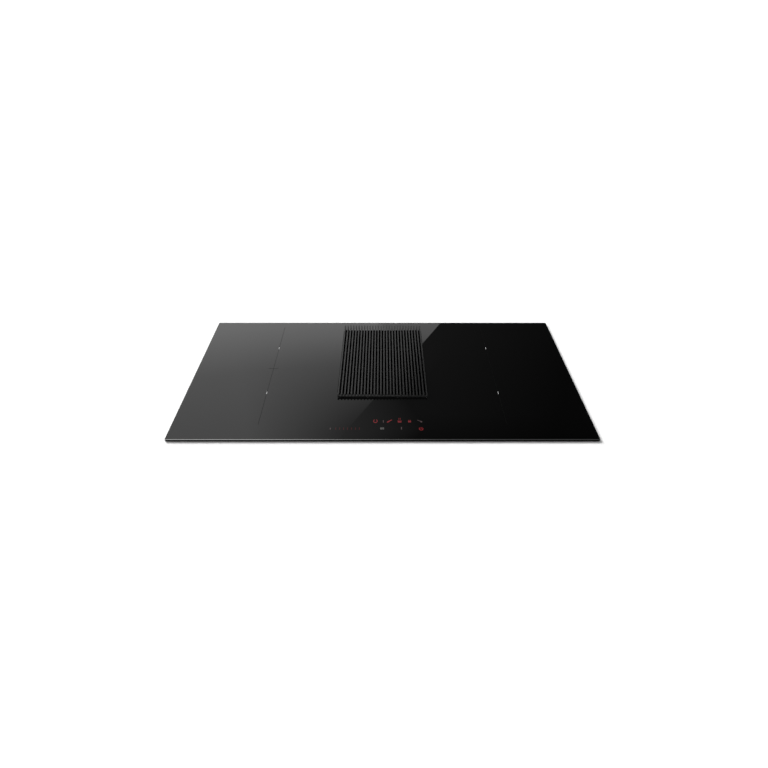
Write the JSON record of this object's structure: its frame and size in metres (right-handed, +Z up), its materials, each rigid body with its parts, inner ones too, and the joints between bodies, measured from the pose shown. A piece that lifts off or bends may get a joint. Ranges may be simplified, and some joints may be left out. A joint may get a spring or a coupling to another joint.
{
  "type": "downdraft induction cooktop",
  "caption": "Black glass induction cooktop with a slatted vent grille at its centre and a blower housing below.",
  "frame": {"origin": "middle of the glass outline, on the worktop's surface under the seal", "axes": "+X to the cook's right along the width, +Y to the back, +Z up"},
  "size_m": [0.83, 0.515, 0.2244],
  "materials": {
    "ceramic_glass": "polished black glass ceramic with fine print",
    "foam_seal": "closed-cell foam",
    "black_grille": "matt black enamel",
    "silicone": "soft black silicone",
    "galvanised_steel": "zinc spangle",
    "zinc_screws": "zinc plated",
    "spring_steel": "bright spring steel",
    "mica": "pressed mica",
    "ferrite": "sintered ferrite",
    "sensor_rubber": "red silicone",
    "aluminium": "plain rolled aluminium",
    "white_nylon": "natural nylon",
    "black_plastic": "fine grained moulding",
    "grey_plastic": "fine grained moulding",
    "blower_plastic": "fine grained moulding",
    "impeller_plastic": "glass-filled nylon",
    "circuit_board": "green solder mask",
    "component_plastic": "blue epoxy and black cases",
    "display_plastic": "dark filter plastic",
    "motor_steel": "zinc plated",
    "stator_steel": "laminated steel",
    "rubber": "black rubber",
    "filter_metal": "black coated expanded metal",
    "bail_wire": "black coated wire",
    "copper_litz": "enamelled copper litz",
    "gland_nylon": "black nylon"
  },
  "bodies": {
    "root": {"glass_top": "ceramic_glass", "worktop_seal": "foam_seal", "hob_tray": "galvanised_steel", "glass_brackets": "galvanised_steel", "tray_screws": "zinc_screws", "fixing_springs": "spring_steel", "mica_sheets": "mica", "coil_ferrites": "ferrite", "coil_sensors": "sensor_rubber", "heatsinks": "aluminium", "board_standoffs": "white_nylon", "touch_frame": "black_plastic", "touch_board": "circuit_board", "touch_pads": "silicone", "led_displays": "display_plastic", "air_shaft": "black_plastic", "shaft_seal": "foam_seal", "housing_cover": "grey_plastic", "lower_housing": "grey_plastic", "scroll_lower": "blower_plastic", "scroll_upper": "blower_plastic", "inlet_ring": "blower_plastic", "motor_flange": "aluminium", "motor_stator": "stator_steel", "motor_bearings": "motor_steel", "isolators": "rubber", "duct_spigot": "blower_plastic", "mains_box": "black_plastic", "mains_box_lid": "black_plastic", "cable_gland": "gland_nylon", "terminal_block": "white_nylon", "control_box": "black_plastic", "underside_screws": "zinc_screws", "coil_carrier_left": "aluminium", "power_board_left": "circuit_board", "board_parts_left": "component_plastic", "cooling_fan_frame_left": "black_plastic", "coil_winding_front_left": "copper_litz", "coil_winding_back_left": "copper_litz", "coil_carrier_right": "aluminium", "power_board_right": "circuit_board", "board_parts_right": "component_plastic", "cooling_fan_frame_right": "black_plastic", "coil_winding_front_right": "copper_litz", "coil_winding_back_right": "copper_litz"},
    "grille": {"grille": "black_grille", "grille_pads": "silicone"},
    "drip_tray": {"drip_tray": "black_plastic"},
    "filter_left": {"filter_frame_left": "filter_metal", "filter_mesh_left": "filter_metal"},
    "filter_right": {"filter_frame_right": "filter_metal", "filter_mesh_right": "filter_metal"},
    "bail_left": {"filter_bail_left": "bail_wire"},
    "bail_right": {"filter_bail_right": "bail_wire"},
    "blower_wheel": {"impeller": "impeller_plastic", "motor_rotor": "motor_steel", "motor_magnets": "ferrite", "motor_shaft": "motor_steel"},
    "fan_left": {"cooling_fan_rotor_left": "black_plastic"},
    "fan_right": {"cooling_fan_rotor_right": "black_plastic"}
  },
  "joints": [
    {"name": "grille_lift", "type": "slide", "parent": "root", "child": "grille", "axis": [0, 0, 1], "range_m": [0, 0.3]},
    {"name": "drip_tray_lift", "type": "slide", "parent": "root", "child": "drip_tray", "axis": [0, 0, 1], "range_m": [0, 0.15]},
    {"name": "filter_left_lift", "type": "slide", "parent": "drip_tray", "child": "filter_left", "axis": [0, 0, 1], "range_m": [0, 0.09]},
    {"name": "bail_left_swing", "type": "hinge", "parent": "filter_left", "child": "bail_left", "pos_m": [-0.07405, 0.06155, -0.01964], "axis": [0, -1, 0], "range_deg": [0, 90]},
    {"name": "filter_right_lift", "type": "slide", "parent": "drip_tray", "child": "filter_right", "axis": [0, 0, 1], "range_m": [0, 0.09]},
    {"name": "bail_right_swing", "type": "hinge", "parent": "filter_right", "child": "bail_right", "pos_m": [0.07405, 0.06155, -0.01964], "axis": [0, 1, 0], "range_deg": [0, 90]},
    {"name": "blower_spin", "type": "hinge", "parent": "root", "child": "blower_wheel", "pos_m": [0.2393, 0.029, -0.1945], "axis": [0, 0, 1], "continuous": true},
    {"name": "fan_left_spin", "type": "hinge", "parent": "root", "child": "fan_left", "pos_m": [-0.247, -0.1915, -0.039], "axis": [0, 0, 1], "continuous": true},
    {"name": "fan_right_spin", "type": "hinge", "parent": "root", "child": "fan_right", "pos_m": [0.247, -0.1915, -0.039], "axis": [0, 0, 1], "continuous": true}
  ],
  "couplings": [
    {"joint": "drip_tray_lift", "follows": "grille_lift", "ratio": 0.5},
    {"joint": "filter_left_lift", "follows": "grille_lift", "ratio": 0.3},
    {"joint": "filter_right_lift", "follows": "grille_lift", "ratio": 0.3}
  ]
}
